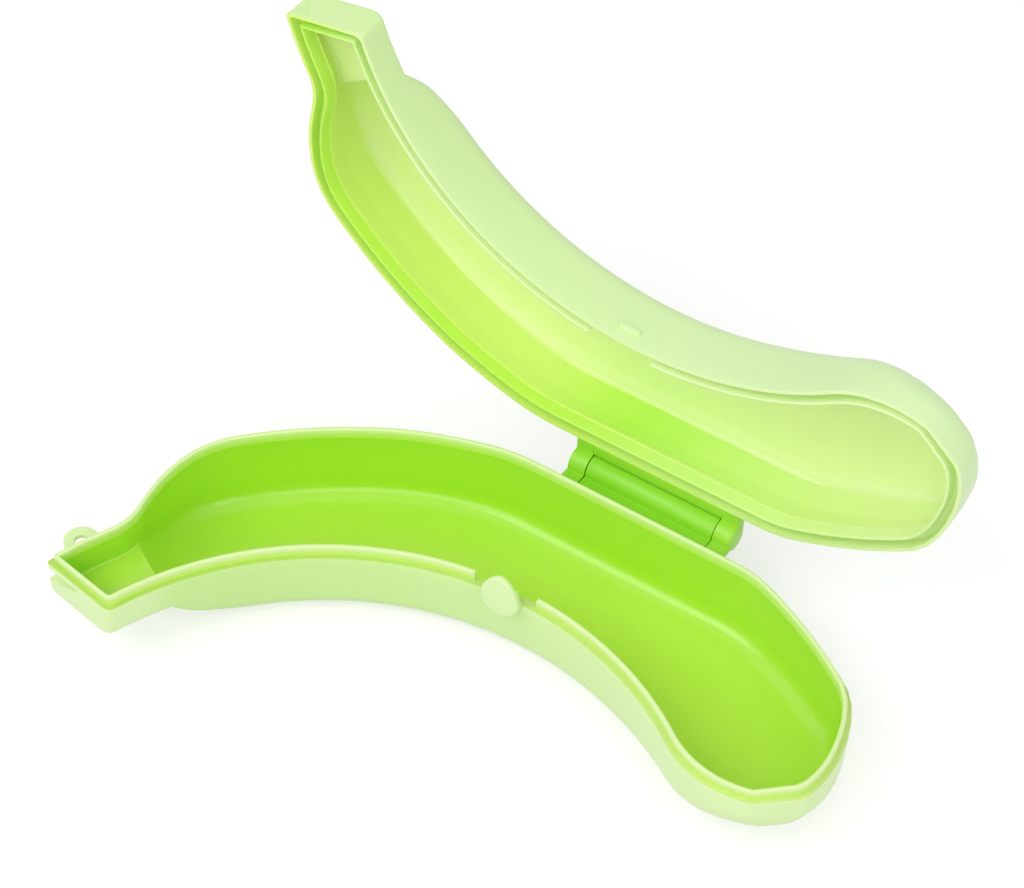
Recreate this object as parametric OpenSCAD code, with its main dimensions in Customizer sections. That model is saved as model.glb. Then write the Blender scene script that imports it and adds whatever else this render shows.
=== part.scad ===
// Curved hard carrying case: two moulded half shells on a pinned hinge, with a sprung latch
// tongue, a sealing lip and a hanging eye.
// Millimetres, +Z up. The origin lies on the table, under the centre line of the lower
// half; X runs along the hinge pin, and the hollow side of the bend faces -Y.

/* [Bend and body] */
// Radius of the centre line of the bend
bend_r = 123.2; // [110:0.2:140]
// Width of the body across the rim
body_w = 50; // [44:0.5:60]
// Depth of each half, rim to flat bottom
half_h = 24.6; // [20:0.2:30]
// Draft of the side walls below the straight rim
draft_a = 5; // [2:0.5:8]
// Wall thickness of the lower half's bottom
floor_t = 2.6; // [2:0.1:3]
// Wall thickness of the upper half's top
roof_t = 1.8; // [1.6:0.1:2.2]
// Wall thickness of the upper half's sides, past the rim
wall_t = 2; // [1.6:0.1:2.4]
// Rounding of the bottom edge on the hollow side
round_in = 9.5; // [6:0.5:12]
// Rounding of the bottom edge on the outer side
round_out = 8; // [6:0.5:12]

/* [Stem end] */
// Width of the stem channel
stem_w = 25.8; // [22:0.2:30]
// Depth of the stem channel, rim to underside
stem_d = 11.2; // [10.4:0.1:14]
// Angle from the hinge side to the stem's end wall
stem_a = 72.5; // [68:0.5:76]
// Slant of the stem's end wall
stem_slant = 0.75; // [0:0.05:1.5]
// Angle at which the stem meets the shoulder
neck_a = 61.5; // [58:0.5:63]
// Angle over which the shoulder swells
shoulder_a = 16.5; // [12:0.5:20]
// Softness of the corner between stem and shoulder
neck_soft = 5; // [2:0.5:7]
// How much narrower the body gets towards the shoulder
stem_narrow = 2.2; // [0:0.1:4]
// Height of the short step from the stem's underside to the body
step_h = 3; // [2:0.5:5]
// Angle over which that step rises
step_span = 6; // [3:0.5:8]
// Angle over which the bottom drops further, from the step to the body
step_a = 15; // [12:0.5:18]
// Rounding of the stem's bottom edges
stem_round = 2.5; // [2:0.1:4]

/* [Tip end] */
// Angle to the flat end facet
tip_a = 48.7; // [46:0.1:49]
// Radius of the rounded hollow side near the end
tip_r = 32; // [30:0.5:38]
// Extra width of the outer side near the end
tip_swell = 4; // [2:0.5:6]
// How far the side facet stands out past the centre line's end
tip_side = 7.1; // [5.5:0.1:11]
// Softness of the corner between the side facet and the outer side
tip_soft = 22; // [14:1:26]
// How much the corner between the end facet and the side facet is cut back
tip_cut = 4.5; // [2:0.5:6]
// Angle over which that corner is rounded
tip_cut_a = 5; // [3:0.5:7]
// Depth of the end facet
tip_d = 9; // [8.5:0.5:14]
// Angle at which the bottom starts to rise to the end facet
tip_rise_a = 16.5; // [8:0.5:24]
// Extra rounding of the bottom edges near the end
tip_round = 1; // [0:0.5:4]

/* [Rim] */
// Ledge outside the lip
ledge_w = 1.4; // [1.2:0.1:1.8]
// Thickness of the lip
lip_t = 1.4; // [1.2:0.1:1.8]
// Height of the lip above the ledge
lip_h = 3.4; // [2.4:0.1:3.6]
// Radius of the corners at the stem's end, on the outer edge and on the lip
lip_corner = 3; // [2:0.1:4]
// Rounding of the stem's outer corner, on the hinge side
outer_corner = 0.8; // [0.6:0.1:2]
// Gap between the two rims when closed
seam = 0.3; // [0.2:0.05:0.5]
// Room outside the lip in the groove of the upper half
land_gap = 0.35; // [0.3:0.05:0.5]
// Room inside the lip, for its corner to swing past
rib_gap = 0.85; // [0.8:0.05:1.2]
// Thickness of the inner rib of the upper half
rib_t = 0.95; // [0.8:0.05:1.4]
// Room over the lip in the groove
groove_gap = 0.4; // [0.3:0.05:0.8]
// Height over which the upper half's wall thins out below the rib
ring_slope = 6; // [2:0.5:8]

/* [Hinge] */
// Angle the upper half stands open at
lid_open = 90; // [0:1:90]
// Place of the hinge's middle along X
hinge_x = 8.5; // [4:0.5:12]
// Distance of the pin's axis from the outer wall
hinge_out = 8.6; // [8:0.1:10]
// How far the straight hinge wall lies inside the outer arc
hinge_flat = 3.6; // [3.2:0.1:5]
// Softness of the corners at the ends of the hinge wall
hinge_soft = 1.8; // [0.5:0.1:2]
// Radius of the barrel and the ears
barrel_r = 4.4; // [3.8:0.1:4.6]
// Length of the barrel
barrel_len = 42.4; // [36:0.2:44]
// Length of each ear
ear_len = 5.7; // [5:0.1:6.4]
// Gap between barrel and ear
ear_gap = 0.3; // [0.2:0.05:0.5]
// Thickness of the strip between the ears, from the upper half's wall to the barrel
strip_t = 2.4; // [1.6:0.1:3.2]
// Gap between the strip and the barrel
strip_gap = 0.4; // [0.3:0.05:0.8]
// Radius of the hinge pin
pin_r = 1.5; // [1.2:0.05:1.8]
// Running clearance of the pin in the barrel
pin_play = 0.06; // [0.04:0.01:0.08]
// Depth of the pin in each ear
pin_in_ear = 4; // [3:0.1:4.4]

/* [Latch] */
// Angle of the latch, from the hinge side
latch_a = -4; // [-6:0.5:-2]
// Angle of the break in the lip and the rib
latch_break = 11.2; // [10.5:0.1:13]
// Width of the tongue
tongue_w = 12; // [10:0.5:13]
// Height of the tongue
tongue_h = 15; // [14.5:0.5:17]
// Thickness of the tongue
tongue_t = 2.4; // [2.2:0.1:2.8]
// Height of the tongue's top above the rim
tongue_up = 10; // [9:0.5:10.5]
// Gap between the tongue and the wall
tongue_gap = 0.5; // [0.5:0.05:0.8]
// How far the catch stands out
catch_out = 0.9; // [0.6:0.1:1]
// Width of the catch
catch_w = 7; // [5:0.5:7]
// Height of the catch
catch_h = 2.6; // [1.6:0.1:2.6]
// Height of the catch's middle above the rim
catch_up = 5; // [4.5:0.1:5.4]

/* [Hanging eye] */
// Angle from the stem's end wall back to the eye
eye_back = 5.5; // [4.8:0.1:7]
// Distance of the hole from the stem's wall
eye_out = 4.4; // [3.8:0.1:4.6]
// Outer radius of the eye, and half its width at the wall
eye_r = 5.2; // [4.8:0.1:6.2]
// Radius of the hole
eye_hole_r = 2; // [1.6:0.1:2.6]
// Thickness of the eye
eye_t = 1.6; // [1.4:0.1:2.4]
// Depth of the eye's top face below the rim
eye_down = 4; // [3.8:0.1:4.2]

/* [Hidden] */
$fn = 64;
green = [0.77, 0.94, 0.60];
steel = [0.75, 0.76, 0.78];
// Radius of the hollow side's wall and of the stem's outer wall
hollow_r = bend_r - body_w / 2;
stem_r = hollow_r + stem_w;
// Radii of the straight hinge wall and, along X, of the side facet
hinge_wall = hollow_r + body_w - hinge_flat;
tip_x = bend_r * sin(tip_a) + tip_side;
// Where the body narrows towards the shoulder and swells towards the tip
narrow_a = 25;
narrow_span = 20;
swell_a = 17;
// Where the hinge side ends and the side facet takes over
hinge_end_a = 25;
// The short step starts this far past the neck
step_past = 1.2;
// The wall stands straight for this depth below the rim
straight_d = 7;
// Angle of each end of the shell, and of the eye
start_a = -stem_a;
end_a = tip_a;
eye_a = start_a + eye_back;
// Centre of the rounded hollow side near the tip end, and the share of its radius it turns over
tip_c = hollow_r + tip_r;
tip_turn = 0.936;
tip_ca = end_a - asin(tip_turn * tip_r / tip_c);
// Insets of the rim's lines, from the outer edge
lip_in = ledge_w + lip_t;
land_in = ledge_w - land_gap;
rib_out = lip_in + rib_gap;
rib_in = rib_out + rib_t;
groove_d = lip_h + groove_gap;
// The ring that carries the rib: its height, and the least room and slope under it
ring_t = 1;
ring_room = 2;
ring_least = 0.3;
// The hinge pin's axis
hinge_y = hinge_wall - bend_r + hinge_out;
hinge_z = half_h;
hinge_wall_y = hinge_wall - bend_r;
// The rim plane of the closed upper half
lid_z = half_h + seam;
// Least rounding inside, and how much smaller the inner roundings are
least_round = 1;
round_less = 1.5;
// Heel of each ear: its width, and its gap to the wall it stops at
heel_w = 3;
heel_gap = 0.3;
// Room beside and behind the catch in the tongue's channel
channel_side = 0.5;
channel_deep = 0.4;

// A point at an angle and a radius about the bend's axis
function pol(a, r) = [r * sin(a), r * cos(a) - bend_r];
// The smaller of two radii, rounded off where they lie within a span of each other
function blend_min(p, q, span) = min(p, q) - pow(max(0, span - abs(p - q)), 2) / (4 * span);
// The larger of two radii, filled in the same way
function blend_max(p, q, span) = max(p, q) + pow(max(0, span - abs(p - q)), 2) / (4 * span);
function ramp(t) = max(0, min(1, t));
function ease(t) = sin(90 * ramp(t));
function quarter(t) = sqrt(max(0, 1 - pow(1 - ramp(t), 2)));

// Radius of the hollow side: an arc, then the rounded end
function hollow(a) = a < tip_ca ? hollow_r
    : tip_c * cos(a - tip_ca) - sqrt(pow(tip_r, 2) - pow(tip_c * sin(a - tip_ca), 2));

// Radius of the outer side: stem, shoulder, body, straight hinge wall, swell and side facet
function body_out(a) = hollow_r + body_w
    + (a < 0 ? -stem_narrow * ramp((-narrow_a - a) / narrow_span) : tip_swell * ramp(a / swell_a));
function shoulder(a) =
    stem_r + (body_out(-neck_a + shoulder_a) - stem_r) * sin(90 * max(-1, (a + neck_a) / shoulder_a));
function outer(a) =
    a < -neck_a + shoulder_a ? blend_max(stem_r, shoulder(a), neck_soft)
    : a < hinge_end_a ? blend_min(body_out(a), hinge_wall / cos(a), hinge_soft)
    : blend_min(body_out(a), tip_x / sin(a), tip_soft);

// How much longer an inset is along the radius than square to the edge
function lean_hollow(a) = sqrt(1 + pow((hollow(a + 0.05) - hollow(a - 0.05)) * 57.3 / 0.1 / hollow(a), 2));
function lean_outer(a) = sqrt(1 + pow((outer(a + 0.05) - outer(a - 0.05)) * 57.3 / 0.1 / outer(a), 2));

// Stations along the bend: close together at the stem's step and at both ends
corner_a = lip_corner / stem_r * 57.3;
stations = concat(
    [for (i = [0:3]) start_a + corner_a * pow(i / 4, 1.5)],
    [for (i = [0:5]) start_a + corner_a + (stem_a - neck_a - corner_a) * i / 6],
    [for (i = [0:11]) -neck_a + 0.6 * i],
    [for (i = [0:48]) -neck_a + 7.2 + (end_a - tip_cut_a + neck_a - 7.2) * i / 48],
    [for (i = [4:-1:0]) end_a - tip_cut_a * pow(i / 5, 1.5)]
);
count = len(stations);

// The ends of an inset outline draw back along the bend
function fade_start(a) = ramp(1 - (a - start_a) / 8);
function fade_end(a) = ramp(1 - (end_a - a) / 10);
function drawn(a, inset) = a + inset / bend_r * 57.3 * (fade_start(a) - fade_end(a));
// The corners at the stem's end are rounded, less so on the inner lines
function corner(a, inset, most) =
    let (r = inset < land_in ? most : max(0, most + ledge_w - inset))
    r * (1 - quarter((a - start_a) / corner_a * lip_corner / max(r, 0.1)));
// The outer side rounds off into the end facet
function tip_corner(a) = tip_cut * (1 - quarter((end_a - a) / tip_cut_a));
function rim_hollow(a, inset) =
    let (b = drawn(a, inset))
    pol(b + stem_slant * fade_start(a), hollow(b) + inset * lean_hollow(b) + corner(a, inset, lip_corner));
function rim_outer(a, inset) =
    let (b = drawn(a, inset))
    let (r = outer(b) - inset * lean_outer(b))
    pol(b - stem_slant * fade_start(a), r - corner(a, inset, outer_corner) - tip_corner(a));
function outline(inset) = concat(
    [for (a = stations) rim_hollow(a, inset)],
    [for (i = [count - 1:-1:0]) rim_outer(stations[i], inset)]
);

// Depth of a half along the bend: stem, step, body and the rise to the end facet
function depth(a) =
    a < tip_rise_a
        ? stem_d + step_h * ease((a + neck_a - step_past) / step_span)
            + (half_h - stem_d - step_h) * ease((a + neck_a - step_past) / step_a)
    : tip_d + (half_h - tip_d) * quarter((end_a - a) / (end_a - tip_rise_a));
// Share of the body's rounding, small in the stem
function swell(a) = ease((a + neck_a - step_past) / step_a);
function toward_tip(a) = ramp((a - tip_rise_a) / (end_a - tip_rise_a));
function round_h(a) = stem_round + (round_in - stem_round) * swell(a) + tip_round * toward_tip(a);
function round_o(a) = stem_round + (round_out - stem_round) * swell(a) + tip_round * toward_tip(a);

// Half a cross-section: [inset, depth] from the rim to the flat bottom
wall_steps = 4;
arc_steps = 7;
function half_section(total, across, top) =
    let (tall = min(across * 0.85, total - top - least_round))
    let (low = total - tall)
    let (lean = tan(draft_a))
    let (in1 = max(0, low - straight_d) * lean)
    concat(
        [for (i = [0:wall_steps])
            let (d = top + (low - top) * i / wall_steps)
            [max(0, d - straight_d) * lean, d]],
        [for (i = [1:arc_steps])
            let (t = 90 * i / arc_steps)
            [in1 + across * (1 - cos(t)), low + tall * sin(t)]]
    );
function section(a, total, shrink, top, inset) =
    let (p = rim_hollow(a, inset))
    let (q = rim_outer(a, inset))
    let (e = (q - p) / norm(q - p))
    let (most = 0.38 * norm(q - p))
    let (h = half_section(total, max(least_round, min(most, round_h(a) - shrink)), top))
    let (o = half_section(total, max(least_round, min(most, round_o(a) - shrink)), top))
    concat(
        [for (s = h) [p[0] + e[0] * s[0], p[1] + e[1] * s[0], s[1]]],
        [for (i = [len(o) - 1:-1:0]) [q[0] - e[0] * o[i][0], q[1] - e[1] * o[i][0], o[i][1]]]
    );

// One half shell: an outer skin, the lines of the rim and an inner skin. The rim's lines are
// [inset, depth] steps; the inner skin starts at its own inset and depth.
module half_shell(rim, core_in, core_top, bottom, slope, up) {
    skin_n = 2 * (wall_steps + 1 + arc_steps);
    side = len(rim);
    ring = 2 * skin_n + 2 * side;
    core_first = skin_n + side;
    place = function (p) [p[0], p[1], up ? lid_z + p[2] : half_h - p[2]];
    rows = [for (a = stations)
        let (skin = section(a, depth(a), 0, 0, 0))
        let (thin = slope > 0 ? max(ring_least, min(slope, depth(a) - bottom - core_top - ring_room)) : 0)
        let (core = section(a, depth(a) - bottom, round_less, core_top + thin, core_in))
        concat(
            [for (p = skin) place(p)],
            [for (r = rim) let (p = rim_outer(a, r[0])) place([p[0], p[1], r[1]])],
            [for (i = [skin_n - 1:-1:0]) place(core[i])],
            [for (i = [1:1:side])
                let (r = rim[side - i])
                let (p = rim_hollow(a, r[0])) place([p[0], p[1], r[1]])]
        )];
    points = [for (r = rows) each r];
    sides = [for (s = [0:count - 2]) for (k = [0:ring - 1])
        let (m = (k + 1) % ring)
        [s * ring + k, s * ring + m, (s + 1) * ring + m, (s + 1) * ring + k]];
    on_outer = function (i) i == 0 ? skin_n - 1 : skin_n + i - 1;
    on_hollow = function (i) i == 0 ? 0 : i > side ? core_first + skin_n - 1 : ring - i;
    ladder = function (first) [for (k = [0:skin_n / 2 - 2])
        [first + k, first + k + 1, first + skin_n - 2 - k, first + skin_n - 1 - k]];
    cap = function (first) concat(
        ladder(first),
        ladder(first + core_first),
        [for (i = [0:side])
            [first + on_outer(i), first + on_outer(i + 1), first + on_hollow(i + 1), first + on_hollow(i)]]
    );
    turned = function (f) [for (i = [len(f) - 1:-1:0]) f[i]];
    faces = concat(sides, [for (f = cap(0)) turned(f)], cap((count - 1) * ring));
    polyhedron(points, up ? faces : [for (f = faces) turned(f)], convexity = 6);
}

// The upper half, turned open about the pin
module opened() {
    translate([0, hinge_y, hinge_z]) rotate([-lid_open, 0, 0]) translate([0, -hinge_y, -hinge_z]) children();
}

// A band along the rim between two insets, broken at the latch
module rim_band(in0, in1) {
    from = latch_a - latch_break / 2;
    to = latch_a + latch_break / 2;
    before = [for (a = stations) if (a < from) a];
    after = [for (a = stations) if (a > to) a];
    line = function (inset) concat(
        [rim_hollow(to, inset)],
        [for (a = after) rim_hollow(a, inset)],
        [for (i = [count - 1:-1:0]) rim_outer(stations[i], inset)],
        [for (a = before) rim_hollow(a, inset)],
        [rim_hollow(from, inset)]
    );
    back = line(in1);
    polygon(concat(line(in0), [for (i = [len(back) - 1:-1:0]) back[i]]));
}

module lower_shell() color(green) half_shell([], lip_in, 0, floor_t, 0, false);

module rim_lip() color(green)
    translate([0, 0, half_h]) linear_extrude(lip_h) rim_band(ledge_w, lip_in);

module along_pin(x0, len, r) {
    translate([x0, hinge_y, hinge_z]) rotate([0, 90, 0]) cylinder(h = len, r = r);
}

// The barrel stands on a web off the straight hinge wall
module hinge_barrel() color(green) {
    x0 = hinge_x - barrel_len / 2;
    difference() {
        union() {
            along_pin(x0, barrel_len, barrel_r);
            translate([x0, hinge_wall_y, half_h - barrel_r])
                cube([barrel_len, hinge_out, barrel_r]);
        }
        along_pin(x0 - 1, barrel_len + 2, pin_r + pin_play);
    }
}

module hanging_eye() color(green) {
    c = pol(eye_a, stem_r + eye_out);
    translate([0, 0, half_h - eye_down - eye_t])
        linear_extrude(eye_t)
            difference() {
                translate(c) rotate(-eye_a) {
                    circle(r = eye_r);
                    translate([-eye_r, -eye_out - 2]) square([2 * eye_r, eye_out + 2]);
                }
                translate(c) circle(r = eye_hole_r);
                polygon(outline(0));
            }
}

// An upright tongue outside the hollow wall; its lower end is the bending root
module latch_tongue() color(green) {
    face_r = hollow_r - tongue_gap;
    top = half_h + tongue_up;
    c = pol(latch_a, face_r);
    translate([c[0], c[1], top - tongue_h]) rotate([0, 0, -latch_a]) difference() {
        rotate([90, 0, 0]) linear_extrude(tongue_t) {
            translate([0, tongue_w / 2]) circle(d = tongue_w);
            translate([0, tongue_h - tongue_w / 2]) circle(d = tongue_w);
            translate([-tongue_w / 2, tongue_w / 2]) square([tongue_w, tongue_h - tongue_w]);
        }
        // Channel in the back, open at the top, for the catch to slide in
        translate([-catch_w / 2 - channel_side, tongue_gap - catch_out - channel_deep,
                tongue_h - tongue_up + catch_up - catch_h])
            cube([catch_w + 2 * channel_side, catch_out + 2 * channel_deep, tongue_h]);
    }
}

module upper_shell() color(green) opened()
    half_shell([[land_in, 0], [land_in, groove_d], [rib_in, groove_d], [rib_in, groove_d + ring_t]],
        wall_t, groove_d + ring_t, roof_t, ring_slope, true);

module rim_rib() color(green) opened()
    translate([0, 0, lid_z]) linear_extrude(groove_d) rim_band(rib_out, rib_in);

// A small block on the outside of the hollow wall of the upper half
module latch_catch() color(green) opened() {
    c = pol(latch_a, hollow_r - catch_out);
    translate([0, 0, lid_z + catch_up - catch_h / 2]) linear_extrude(catch_h) difference() {
        translate(c) rotate(-latch_a) translate([-catch_w / 2, 0]) square([catch_w, catch_out + 1]);
        polygon(outline(0));
    }
}

// An ear: a blind barrel end, an arm to the upper half's wall and a heel that stops the opening
module hinge_ear(x0, bore_x) color(green) opened() {
    difference() {
        union() {
            along_pin(x0, ear_len, barrel_r);
            translate([x0, hinge_wall_y, lid_z])
                cube([ear_len, hinge_out, barrel_r - seam]);
            translate([x0, hinge_y, hinge_z - hinge_out + heel_gap])
                cube([ear_len, heel_w, hinge_out - heel_gap]);
        }
        along_pin(bore_x, pin_in_ear, pin_r);
    }
}
module hinge_ear_left() {
    x1 = hinge_x - barrel_len / 2 - ear_gap;
    hinge_ear(x1 - ear_len, x1 - pin_in_ear);
}
module hinge_ear_right() {
    x0 = hinge_x + barrel_len / 2 + ear_gap;
    hinge_ear(x0, x0);
}

// The strip fills the gap between the upper half's wall and the barrel
module hinge_strip() color(green) opened() {
    x0 = hinge_x - barrel_len / 2 - ear_gap;
    len = barrel_len + 2 * ear_gap;
    difference() {
        translate([x0, hinge_wall_y, lid_z]) cube([len, hinge_out, strip_t]);
        along_pin(x0 - 1, len + 2, barrel_r + strip_gap);
    }
}

module hinge_pin() color(steel) opened() {
    len = barrel_len + 2 * (ear_gap + pin_in_ear);
    along_pin(hinge_x - len / 2, len, pin_r);
}

lower_shell();
rim_lip();
hinge_barrel();
hanging_eye();
latch_tongue();
upper_shell();
rim_rib();
latch_catch();
hinge_ear_left();
hinge_ear_right();
hinge_strip();
hinge_pin();
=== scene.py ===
import math
import bmesh
import bpy
from mathutils import Matrix, Vector
from mathutils.bvhtree import BVHTree


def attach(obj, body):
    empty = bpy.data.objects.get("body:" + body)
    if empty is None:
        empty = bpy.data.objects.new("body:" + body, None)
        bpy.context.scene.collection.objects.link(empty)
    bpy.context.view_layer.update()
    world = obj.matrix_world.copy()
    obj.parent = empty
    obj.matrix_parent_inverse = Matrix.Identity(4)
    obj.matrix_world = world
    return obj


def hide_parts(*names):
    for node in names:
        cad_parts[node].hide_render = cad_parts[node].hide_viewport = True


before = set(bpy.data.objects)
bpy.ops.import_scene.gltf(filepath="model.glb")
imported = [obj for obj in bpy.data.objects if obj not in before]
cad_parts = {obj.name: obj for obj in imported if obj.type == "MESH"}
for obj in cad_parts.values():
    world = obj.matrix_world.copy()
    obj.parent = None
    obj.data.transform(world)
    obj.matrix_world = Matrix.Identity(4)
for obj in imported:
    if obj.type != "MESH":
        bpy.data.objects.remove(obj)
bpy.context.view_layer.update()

MM = 0.001

# The case's own measures, as its solids have them
BEND_R = 123.2 * MM                       # centre line of the bend
PIN_Y, PIN_Z = 30.0 * MM, 24.6 * MM       # hinge pin
RIM_Z = 24.6 * MM                         # ledge of the lower half
LIP_TOP = 28.0 * MM
RIM_Y = 30.3 * MM                         # rim of the open lid, which faces -Y
GROOVE_DEEP = 4.6 * MM                    # from that rim to behind its groove
LID_AXIS_Z = PIN_Y + PIN_Z + BEND_R
BASE_AXIS = Vector((0, -BEND_R, 0))       # the bend's axis in the lower half, upright
LID_AXIS = Vector((0, 0, LID_AXIS_Z))     # and in the open lid, along Y
LATCH_TURN = math.radians(4)              # the tongue's turn about the upright
STEM_CORNER = Vector((-118.7 * MM, -87.5 * MM, 0))   # outer corner of the stem's end, in the lower half
STEM_ACROSS = Vector((0.985, -0.173, 0))  # from that corner along its end wall
STEM_BACK = Vector((0.320, 0.947, 0))     # and along its side wall

# A quarter turn about the pin, from the closed lid to the open one
LID_TURN = (Matrix.Translation((0, PIN_Y, PIN_Z)) @ Matrix.Rotation(math.radians(-90), 4, "X")
            @ Matrix.Translation((0, -PIN_Y, -PIN_Z)))

# The finger notch under the lower half's rim: a wedge across the stem's outer corner
NOTCH_LONG = 14 * MM                      # its reach along the end wall
NOTCH_DEEP = 3.8 * MM                     # and along the side wall
NOTCH_LOW, NOTCH_HIGH = 16.4 * MM, 22.6 * MM
NOTCH_CLOSES = 0.93                       # share of its height that it loses towards the end wall
NOTCH_OUT = 9 * MM                        # how far its cutting block stands out
BACKING = (-1.4 * MM, 0.3 * MM)           # the wall carried round behind it, from inside to outside
BACKING_LOW, BACKING_HIGH = 15.4 * MM, 24.2 * MM

# The notch's part in the lid: a shallow step, measured with the lid closed
STEP_LONG = 6.8 * MM
STEP_DEEP = 0.7 * MM
STEP_LOW, STEP_HIGH = 26.6 * MM, 35.6 * MM
STEP_LEANS = 0.7                          # share of its length that it loses towards its top
STEP_OUT = 5 * MM

# The tongue's shape
PLATE = 1.63 * MM                         # thickness of its front plate
RAILS_END = 4.6 * MM                      # the rails behind the plate end so far below its top
RAILS_INSIDE = 4.1 * MM                   # from its middle line to just past the rails' inner faces
EGG_STARTS = 9 * MM                       # it begins to narrow so far below its top
EGG_NARROWS = 0.2                         # share of its width that it loses up to its top
EGG_DRAFT = 0.33                          # how far its sides run in towards its back


# Picking and editing

def pick_nothing():
    if bpy.context.object and bpy.context.object.mode != "OBJECT":
        bpy.ops.object.mode_set(mode="OBJECT")
    bpy.ops.object.select_all(action="DESELECT")


def only(piece):
    """Makes one object the only selected and active one, in object mode."""
    pick_nothing()
    piece.select_set(True)
    bpy.context.view_layer.objects.active = piece


def edit(piece, kind="FACE"):
    """Opens one object in edit mode with nothing picked in it, and gives its mesh."""
    only(piece)
    bpy.ops.object.mode_set(mode="EDIT")
    bpy.ops.mesh.select_mode(type=kind)
    bpy.ops.mesh.select_all(action="DESELECT")
    return bmesh.from_edit_mesh(piece.data)


def both(edge, test):
    """Whether both ends of an edge pass a test."""
    return all(test(point.co) for point in edge.verts)


def on_skin(edge):
    """Whether an edge borders the outer skin."""
    return any(face.material_index == 0 for face in edge.link_faces)


def joined_copy(node, name, flat=True):
    """A solid's own form, with its loose triangles joined into whole faces."""
    only(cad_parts[node])
    bpy.ops.object.duplicate()
    piece = bpy.context.object
    piece.name = piece.data.name = name
    piece.parent = None
    for key in list(piece.keys()):
        del piece[key]
    bpy.ops.mesh.customdata_custom_splitnormals_clear()
    edit(piece)
    bpy.ops.mesh.select_all(action="SELECT")
    bpy.ops.mesh.remove_doubles(threshold=0.004 * MM)
    if flat:
        bpy.ops.mesh.dissolve_limited(angle_limit=math.radians(0.5))
    else:
        bpy.ops.mesh.tris_convert_to_quads(face_threshold=math.radians(30), shape_threshold=math.radians(60))
    only(piece)
    return piece


def break_edges(piece, width, steps=2, test=None, clamp=True, sharp=math.radians(32)):
    """Rounds the sharp outward edges, as a mould leaves them: all of them, or those that pass the test."""
    mesh = edit(piece, "EDGE")
    for edge in mesh.edges:
        if len(edge.link_faces) == 2 and edge.is_convex and edge.calc_face_angle(0) > sharp:
            edge.select_set(test is None or bool(test(edge)))
    bmesh.update_edit_mesh(piece.data)
    bpy.ops.mesh.bevel(offset=width, segments=steps, profile=0.5, affect="EDGES", clamp_overlap=clamp)


def smooth(piece, angle=38):
    only(piece)
    bpy.ops.object.shade_smooth_by_angle(angle=math.radians(angle))


def merge(piece, tool, operation="DIFFERENCE"):
    """Takes one solid out of another, or adds it, and clears the tool away."""
    only(piece)
    bpy.ops.object.modifier_add(type="BOOLEAN")
    joint = piece.modifiers[-1]
    joint.operation = operation
    joint.solver = "EXACT"
    joint.object = tool
    bpy.ops.object.modifier_apply(modifier=joint.name)
    only(tool)
    bpy.ops.object.delete()


def block(start, end, near, far, low, high, shift=None):
    """An upright block beside a line between two points, from one distance outwards to another. The lower (-1)
    or upper (1) corners over the start can be shifted, by shares of the block's sides."""
    along = (end - start).normalized()
    out = Vector((along.y, -along.x, 0))
    out = out if out.dot(STEM_BACK) < 0 else -out
    pick_nothing()
    bpy.ops.mesh.primitive_cube_add(size=1)
    piece = bpy.context.object
    if shift:
        level, way = shift
        mesh = edit(piece, "VERT")
        for point in mesh.verts:
            point.select_set(point.co.x < 0 and point.co.z * level > 0)
        bmesh.update_edit_mesh(piece.data)
        bpy.ops.transform.translate(value=way)
        only(piece)
    middle = (start + end) / 2 + out * (near + far) / 2 + Vector((0, 0, (low + high) / 2))
    sides = ((end - start).length * along, (far - near) * out, Vector((0, 0, high - low)))
    stretch = Matrix([(*row, 0) for row in zip(*sides)] + [(0, 0, 0, 1)])
    piece.matrix_world = Matrix.Translation(middle) @ stretch
    bpy.ops.object.transform_apply()
    edit(piece)
    bpy.ops.mesh.select_all(action="SELECT")
    bpy.ops.mesh.normals_make_consistent(inside=False)
    only(piece)
    return piece


def stem_point(across, back):
    """A point so far from the stem's outer corner along its end wall and its side wall."""
    return STEM_CORNER + across * STEM_ACROSS + back * STEM_BACK


def shade_hollow(piece, axis, along):
    """Gives the inside colour, a deeper copy of the plastic that paints the shade of light bounced round in the
    hollow, to the faces with a wall of the same half on both sides of them.
    """
    tree = BVHTree.FromPolygons([v.co for v in piece.data.vertices], [p.vertices for p in piece.data.polygons])
    for face in piece.data.polygons:
        start = face.center + face.normal * 0.15 * MM
        out = start - axis
        out[along] = 0
        out.normalize()
        if all(tree.ray_cast(start, way)[0] is not None for way in (out, -out)):
            face.material_index = 1


def finish_piece(piece, node, body, materials):
    """Gives a piece its materials, and its place in the part's table."""
    piece.data.materials.clear()
    for material in materials:
        piece.data.materials.append(material)
    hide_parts(node)
    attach(piece, body)


# Materials

def node_of(tree, kind, **values):
    node = tree.nodes.new(kind)
    for key, value in values.items():
        setattr(node, key, value)
    return node


def spread(tree, value, low, high, to=(0.0, 1.0), soft=True):
    """A slide from one value to another over a span."""
    node = node_of(tree, "ShaderNodeMapRange", interpolation_type="SMOOTHSTEP" if soft else "LINEAR")
    node.inputs["From Min"].default_value = low
    node.inputs["From Max"].default_value = high
    node.inputs["To Min"].default_value = to[0]
    node.inputs["To Max"].default_value = to[1]
    tree.links.new(value, node.inputs["Value"])
    return node.outputs[0]


def speckle(tree, place, scale, detail, stretch=None):
    """Soft noise over the surface, finer along the axes that are stretched."""
    node = node_of(tree, "ShaderNodeTexNoise")
    node.inputs["Scale"].default_value = scale
    node.inputs["Detail"].default_value = detail
    if stretch:
        grid = node_of(tree, "ShaderNodeMapping")
        grid.inputs["Scale"].default_value = stretch
        tree.links.new(place, grid.inputs["Vector"])
        place = grid.outputs[0]
    tree.links.new(place, node.inputs["Vector"])
    return node.outputs["Fac"]


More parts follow.
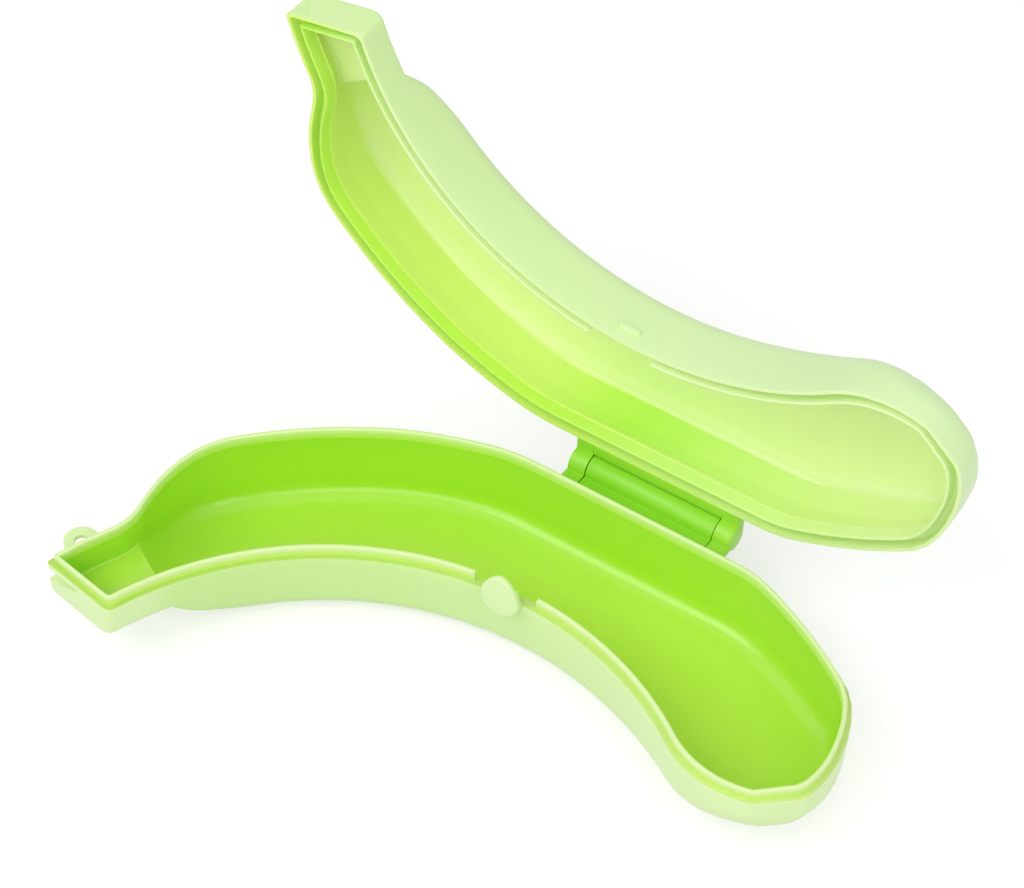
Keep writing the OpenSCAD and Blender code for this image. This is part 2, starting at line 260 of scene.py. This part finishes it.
def sums(tree, operation, a, b, clamp=False):
    node = node_of(tree, "ShaderNodeMath", operation=operation, use_clamp=clamp)
    for socket, value in zip(node.inputs, (a, b)):
        if isinstance(value, float):
            socket.default_value = value
        else:
            tree.links.new(value, socket)
    return node.outputs[0]


def blended(tree, share, a, b):
    node = node_of(tree, "ShaderNodeMix", data_type="RGBA")
    tree.links.new(share, node.inputs["Factor"])
    for socket, value in ((node.inputs["A"], a), (node.inputs["B"], b)):
        if isinstance(value, tuple):
            socket.default_value = (*value, 1)
        else:
            tree.links.new(value, socket)
    return node.outputs["Result"]


def bend_radius(tree, place, half):
    """How far a place lies from the axis of the bend."""
    centre = node_of(tree, "ShaderNodeVectorMath", operation="SUBTRACT")
    centre.inputs[1].default_value = BASE_AXIS if half == "base" else LID_AXIS
    flat = node_of(tree, "ShaderNodeVectorMath", operation="MULTIPLY")
    flat.inputs[1].default_value = (1, 1, 0) if half == "base" else (1, 0, 1)
    radius = node_of(tree, "ShaderNodeVectorMath", operation="LENGTH")
    tree.links.new(place, centre.inputs[0])
    tree.links.new(centre.outputs[0], flat.inputs[0])
    tree.links.new(flat.outputs[0], radius.inputs[0])
    return radius.outputs["Value"]


NECK_X = (-0.07, -0.105)           # the stem's neck, from the bend to the stem
START_X = (-0.045, 0.005)          # where the stem end's separate colour gives way; in the lid's inside a painted lift of light
FLOW_STRETCH = (1, 2.5, 2.5)       # slow clouding along the case
FLOW_SHARE = 0.07
MARKS_STRETCH = (1, 3, 3)          # faint handling marks
MARKS_GLOSS = 0.035
DIMPLE_HIGH = 0.1 * MM             # dimple of the moulded skin
DIMPLE_SHARE = 0.1


def plastic(name, half, pale, deep, across=(0.100, 0.148), along=(-0.03, 0.08), far=0.2, ground=0.0, edge=None,
            gloss=0.34, stem=0.022, start=None):
    """Glossy, cloudy moulded plastic, with light and shade painted into its colour. The colour runs from pale on the
    hollow side to deep on the hinge side, over the radii in across: painted shade, the deeper green of light bounced
    round in the hollows and between the halves. Along to the tip only the far share of the deep colour is left.
    Faces turned to the half's opening, its floor, are paler by the share ground: painted light. The stem's radii
    count as so much larger by stem, and start gives the stem end a colour of its own, which the lid's inside uses as
    a paler painted lift against the shade of the narrow stem. The rim can get a paler edge, from one height to
    another: a painted highlight. Over all this lie slow flow clouding, the dimple of the moulded skin and faint
    handling marks in the gloss."""
    material = bpy.data.materials.new(name)
    material.use_nodes = True
    tree = material.node_tree
    shader = tree.nodes["Principled BSDF"]
    coords = node_of(tree, "ShaderNodeTexCoord").outputs
    place = coords["Object"]
    link = tree.links.new
    radius = bend_radius(tree, place, half)
    split = node_of(tree, "ShaderNodeSeparateXYZ")
    link(place, split.inputs[0])
    facing = node_of(tree, "ShaderNodeSeparateXYZ")
    link(coords["Normal"], facing.inputs[0])

    # start: the stem end's separate colour, in the lid's inside a paler painted lift against the narrow stem's shade
    if start:
        deep = blended(tree, spread(tree, split.outputs["X"], *START_X), start, deep)
    neck = spread(tree, split.outputs["X"], *NECK_X, (0.0, stem))
    # Deeper towards the hinge side: painted shade
    side = spread(tree, sums(tree, "ADD", radius, neck), *across)
    tip = spread(tree, split.outputs["X"], *along, (1.0, far))
    # Faces turned to the half's opening are paler by ground: painted light
    if half == "base":
        opened = spread(tree, facing.outputs["Z"], 0.4, 0.95, (1.0, 1.0 - ground))
    else:
        opened = spread(tree, facing.outputs["Y"], -0.4, -0.95, (1.0, 1.0 - ground))
    flow = spread(tree, speckle(tree, place, 16, 2, FLOW_STRETCH), 0.25, 0.75, (-FLOW_SHARE, FLOW_SHARE), soft=False)
    share = sums(tree, "MULTIPLY", sums(tree, "MULTIPLY", side, tip), opened)
    colour = blended(tree, sums(tree, "ADD", share, flow, clamp=True), pale, deep)
    # A paler band high on the rim: painted highlight
    if edge:
        height = split.outputs["Z" if half == "base" else "Y"]
        colour = blended(tree, spread(tree, height, edge[0], edge[1]), colour, edge[2])
    link(colour, shader.inputs["Base Color"])

    marks = speckle(tree, place, 45, 5, MARKS_STRETCH)
    marked = spread(tree, marks, 0.3, 0.7, (gloss - MARKS_GLOSS, gloss + MARKS_GLOSS), soft=False)
    link(marked, shader.inputs["Roughness"])

    dimple = node_of(tree, "ShaderNodeBump")
    dimple.inputs["Strength"].default_value = DIMPLE_SHARE
    dimple.inputs["Distance"].default_value = DIMPLE_HIGH
    link(speckle(tree, place, 130, 1), dimple.inputs["Height"])
    link(dimple.outputs[0], shader.inputs["Normal"])

    shader.inputs["IOR"].default_value = 1.49
    return material


def drawn_wire(name):
    """Drawn steel wire: fine lines along the pin and a brushed gloss."""
    material = bpy.data.materials.new(name)
    material.use_nodes = True
    tree = material.node_tree
    shader = tree.nodes["Principled BSDF"]
    place = node_of(tree, "ShaderNodeTexCoord").outputs["Object"]
    lines = speckle(tree, place, 3, 4, (40, 900, 900))
    tree.links.new(blended(tree, lines, (0.42, 0.43, 0.45), (0.66, 0.67, 0.69)), shader.inputs["Base Color"])
    tree.links.new(spread(tree, lines, 0.0, 1.0, (0.25, 0.45)), shader.inputs["Roughness"])
    shader.inputs["Metallic"].default_value = 1.0
    return material


# On the outer skin and the ledge the colour runs from the stem to the tip only
SKIN = {"across": (0.0, 0.05), "along": (-0.08, 0.09), "far": 0.0}
outside_base = plastic("plastic_outside_base", "base", (0.76, 0.96, 0.47), (0.63, 0.90, 0.32),
                       stem=-0.15, **SKIN)
tongue_base = plastic("plastic_tongue", "base", (0.78, 0.97, 0.50), (0.74, 0.95, 0.45), **SKIN)
outside_lid = plastic("plastic_outside_lid", "lid", (0.72, 0.93, 0.48), (0.68, 0.92, 0.40), **SKIN)
# The insides are deeper, more saturated copies of the plastic: painted shade of light bounced round in the hollows,
# paler on their floors as painted light. The lower half's keeps most of its deep colour towards the tip, painted
# shade.
inside_base = plastic("plastic_inside_base", "base", (0.57, 0.87, 0.09), (0.40, 0.79, 0.03), far=0.7,
                      ground=0.45, gloss=0.17)
# The lid's inside is paler at its stem end: painted light against the narrow stem's shade
inside_lid = plastic("plastic_inside_lid", "lid", (0.88, 0.98, 0.50), (0.47, 0.89, 0.05), far=0.25,
                     ground=0.6, gloss=0.12, start=(0.70, 0.93, 0.21))
# The ledge is a darker copy of the skin's colour: painted shade under the lip
ledge_base = plastic("plastic_ledge_base", "base", (0.62, 0.80, 0.26), (0.47, 0.71, 0.12), **SKIN)
# The lip: a more saturated copy for its outer face, painted shade, with a paler top edge, painted highlight
lip_base = plastic("plastic_lip_base", "base", (0.62, 0.90, 0.18), (0.56, 0.87, 0.13),
                   edge=(RIM_Z + 0.8 * MM, LIP_TOP - 0.3 * MM, (0.72, 0.91, 0.40)))
# The groove: a paler copy of the inside colour, painted light against the groove's shade
groove_lid = plastic("plastic_groove_lid", "lid", (0.82, 0.98, 0.52), (0.74, 0.97, 0.20))
# The rib: pale on the hollow side, deep on the hinge side, the inside's painted shade
rib_lid = plastic("plastic_rib_lid", "lid", (0.82, 0.98, 0.50), (0.55, 0.91, 0.09))
# The hinge parts: deep green copies of the plastic, painted shade between the two halves
hinge_base = plastic("plastic_hinge_base", "base", (0.36, 0.75, 0.05), (0.26, 0.69, 0.02))
hinge_lid = plastic("plastic_hinge_lid", "lid", (0.42, 0.79, 0.07), (0.31, 0.72, 0.03))


# The lower half

def lower_half():
    piece = joined_copy("lower_shell", "case_lower_half", flat=False)
    # A finger notch in the stem's outer corner, under the rim, with the wall carried round behind it
    start, end = stem_point(NOTCH_LONG, 0), stem_point(0, NOTCH_DEEP)
    along = (end - start).normalized()
    backing = block(start + 3 * along * MM, end - 1.5 * along * MM, *BACKING, BACKING_LOW, BACKING_HIGH)
    merge(piece, backing, "UNION")
    finish_piece(piece, "lower_shell", "base", [outside_base, inside_base, ledge_base])
    # Painted shade: the hollow's faces get the deeper inside colour
    shade_hollow(piece, BASE_AXIS, 2)
    # The ledge's top faces get its darker colour: painted shade under the lip
    for face in piece.data.polygons:
        if face.normal.z > 0.9 and face.center.z > RIM_Z - 0.2 * MM:
            face.material_index = 2
    break_edges(piece, 0.4 * MM, 3, test=on_skin)
    wedge = block(start, end + 3 * along * MM, 0, NOTCH_OUT, NOTCH_LOW, NOTCH_HIGH, (-1, (0, 0, NOTCH_CLOSES)))
    merge(piece, wedge)
    smooth(piece)


def lip():
    piece = joined_copy("rim_lip", "case_lip", flat=False)
    break_edges(piece, 0.6 * MM, 4, test=lambda e: both(e, lambda p: p.z > LIP_TOP - 0.02 * MM))
    smooth(piece)
    finish_piece(piece, "rim_lip", "base", [lip_base])


def barrel():
    piece = joined_copy("hinge_barrel", "case_hinge_barrel")
    break_edges(piece, 0.3 * MM)
    smooth(piece)
    finish_piece(piece, "hinge_barrel", "base", [hinge_base])


def eye():
    piece = joined_copy("hanging_eye", "case_hanging_eye")
    break_edges(piece, 0.55 * MM, 4)
    smooth(piece)
    finish_piece(piece, "hanging_eye", "base", [outside_base])


def egg_shape(piece, front, across, centre, face, top):
    """Draws the tongue's outline in above a height: more and more towards its top, and a little towards its back.
    What lies between the rails stays."""
    start, solid = top - EGG_STARTS, top - RAILS_END + 0.1 * MM
    groups = {}
    for point in piece.data.vertices:
        aside = point.co.dot(across) - centre
        if point.co.z > start and abs(aside) > (0.01 * MM if point.co.z > solid else RAILS_INSIDE):
            place = (round(point.co.z, 6), round(aside, 6), round(face - point.co.dot(front), 6))
            groups.setdefault(place, []).append(point.index)
    for (height, aside, behind), members in groups.items():
        rise = (height - start) / (top - start)
        narrower = aside * EGG_NARROWS * rise * rise * (3 - 2 * rise)
        drafted = math.copysign(EGG_DRAFT * behind * min(1, 3 * rise), aside)
        inward = narrower + drafted
        mesh = edit(piece, "VERT")
        mesh.verts.ensure_lookup_table()
        for index in members:
            mesh.verts[index].select_set(True)
        bmesh.update_edit_mesh(piece.data)
        bpy.ops.transform.translate(value=-across * (inward if abs(inward) < abs(aside) else aside))
    only(piece)


def tongue():
    piece = joined_copy("latch_tongue", "case_latch_tongue")
    front = Vector((math.sin(LATCH_TURN), -math.cos(LATCH_TURN), 0))
    across = Vector((front.y, -front.x, 0))
    points = [v.co for v in piece.data.vertices]
    face, top = max(p.dot(front) for p in points), max(p.z for p in points)
    centre = (min(p.dot(across) for p in points) + max(p.dot(across) for p in points)) / 2
    # The channel's two rails end behind the plate, below its round top
    behind = across * centre + front * (face - PLATE)
    aside = across * 9 * MM
    merge(piece, block(behind - aside, behind + aside, -3 * MM, 0, top - RAILS_END, top + MM))
    egg_shape(piece, front, across, centre, face, top)
    break_edges(piece, 0.7 * MM, 5, test=lambda e: both(e, lambda p: p.dot(front) > face - 0.02 * MM))
    smooth(piece)
    finish_piece(piece, "latch_tongue", "latch", [tongue_base])


# The lid

def upper_half():
    piece = joined_copy("upper_shell", "case_upper_half", flat=False)
    finish_piece(piece, "upper_shell", "lid", [outside_lid, inside_lid, groove_lid])
    # Painted shade: the hollow's faces get the deeper inside colour
    shade_hollow(piece, LID_AXIS, 1)
    # The groove's inner faces and the rim's face get the groove's paler colour: painted light against its shade
    for face in piece.data.polygons:
        inner_groove = face.material_index == 1 and face.center.y < RIM_Y + GROOVE_DEEP
        if inner_groove or (face.normal.y < -0.9 and face.center.y < RIM_Y + 0.2 * MM):
            face.material_index = 2
    break_edges(piece, 0.35 * MM, 3, test=on_skin)
    # The lid's part of the finger notch: a shallow step in the stem's end
    start, end = stem_point(STEP_LONG, STEP_DEEP), stem_point(-2 * MM, STEP_DEEP)
    step = block(start, end, 0, STEP_OUT, STEP_LOW, STEP_HIGH, (1, (STEP_LEANS, 0, 0)))
    step.matrix_world = LID_TURN
    bpy.ops.object.transform_apply()
    merge(piece, step)
    smooth(piece)


def rib():
    piece = joined_copy("rim_rib", "case_lid_rib", flat=False)
    top = min(v.co.y for v in piece.data.vertices)
    break_edges(piece, 0.35 * MM, 3, test=lambda e: both(e, lambda p: p.y < top + 0.02 * MM))
    smooth(piece)
    finish_piece(piece, "rim_rib", "lid", [rib_lid])


def catch():
    piece = joined_copy("latch_catch", "case_latch_catch")

    def out(p):
        return LID_AXIS_Z - math.hypot(p.x, LID_AXIS_Z - p.z)
    top = max(out(v.co) for v in piece.data.vertices)
    break_edges(piece, 1.2 * MM, 6, test=lambda e: abs(out(e.verts[0].co) - out(e.verts[1].co)) > 0.5 * MM)
    break_edges(piece, 0.75 * MM, 6, test=lambda e: both(e, lambda p: out(p) > top - 0.15 * MM))
    smooth(piece, 60)
    finish_piece(piece, "latch_catch", "lid", [outside_lid])


def ears():
    # The right ear's end is domed, the left one's is crisp
    for side, way, rounding in (("left", -1, 0.4 * MM), ("right", 1, 1.3 * MM)):
        piece = joined_copy("hinge_ear_" + side, "case_hinge_ear_" + side)
        end = max(v.co.x * way for v in piece.data.vertices)
        break_edges(piece, rounding, 6, clamp=False,
                    test=lambda e: both(e, lambda p: p.x * way > end - 0.01 * MM))
        smooth(piece)
        finish_piece(piece, "hinge_ear_" + side, "lid", [hinge_lid])


def strip():
    piece = joined_copy("hinge_strip", "case_hinge_strip")
    break_edges(piece, 0.25 * MM)
    smooth(piece)
    finish_piece(piece, "hinge_strip", "lid", [hinge_lid])


def pin():
    """The pin keeps its solid, and gets its finish."""
    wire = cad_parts["hinge_pin"]
    wire.data.materials.clear()
    wire.data.materials.append(drawn_wire("pin_drawn_wire"))


lower_half()
lip()
barrel()
eye()
tongue()
upper_half()
rib()
catch()
ears()
strip()
pin()


# Studio

def seen_by_eye(tree):
    """One where the camera, a mirror or glass looks, nought where only light is gathered."""
    path = node_of(tree, "ShaderNodeLightPath").outputs
    mirrored = sums(tree, "MAXIMUM", path["Is Glossy Ray"], path["Is Transmission Ray"])
    return sums(tree, "MAXIMUM", path["Is Camera Ray"], mirrored)


def floor(lift):
    """A matt pale floor that keeps the shadow, lifted to white for the eye only."""
    pick_nothing()
    bpy.ops.mesh.primitive_plane_add(size=6, location=(0, 0, -0.2 * MM))
    plane = bpy.context.object
    plane.name = plane.data.name = "studio_floor"
    material = bpy.data.materials.new("studio_floor_white")
    material.use_nodes = True
    tree = material.node_tree
    tree.nodes.clear()
    matt = node_of(tree, "ShaderNodeBsdfDiffuse")
    matt.inputs["Color"].default_value = (0.62, 0.62, 0.62, 1)
    glow = node_of(tree, "ShaderNodeEmission")
    lifted = node_of(tree, "ShaderNodeAddShader")
    surface = node_of(tree, "ShaderNodeOutputMaterial")
    tree.links.new(sums(tree, "MULTIPLY", seen_by_eye(tree), lift), glow.inputs["Strength"])
    tree.links.new(matt.outputs[0], lifted.inputs[0])
    tree.links.new(glow.outputs[0], lifted.inputs[1])
    tree.links.new(lifted.outputs[0], surface.inputs["Surface"])
    plane.data.materials.append(material)


def lamp(name, size, power, place, aim):
    bpy.ops.object.light_add(type="AREA", location=place)
    light = bpy.context.object
    light.name = light.data.name = name
    light.data.shape = "RECTANGLE"
    light.data.size, light.data.size_y = size
    light.data.energy = power
    light.rotation_euler = (Vector(aim) - Vector(place)).to_track_quat("-Z", "Y").to_euler()


def white_room(light, seen):
    """A white surrounding, as bright as light says on the case and as seen says for the eye."""
    world = bpy.data.worlds.new("studio_white")
    bpy.context.scene.world = world
    world.use_nodes = True
    tree = world.node_tree
    back = tree.nodes["Background"]
    back.inputs["Color"].default_value = (1, 1, 1, 1)
    tree.links.new(spread(tree, seen_by_eye(tree), 0.0, 1.0, (light, seen), soft=False), back.inputs["Strength"])


def camera():
    bpy.ops.object.camera_add(
        location=(0.29295, -0.50232, 0.69814),
        rotation=(math.radians(42.6639), math.radians(-1.3999), math.radians(33.5766)))
    view = bpy.context.object
    view.name = "photo_camera"
    view.data.sensor_fit = "HORIZONTAL"
    view.data.sensor_width = 36
    view.data.lens = 111.052
    bpy.context.scene.camera = view


floor(lift=0.5)
white_room(light=0.64, seen=1.0)
lamp("key_softbox", (0.9, 0.7), 5.0, (-0.55, -0.75, 1.15), (0, 0, 0.05))
lamp("side_softbox", (0.7, 0.9), 2.7, (1.1, -0.3, 0.8), (0, 0.02, 0.05))
lamp("front_softbox", (1.0, 0.8), 4.0, (0.35, -1.05, 0.8), (0, 0, 0.06))
camera()
bpy.context.scene.view_settings.view_transform = "Standard"
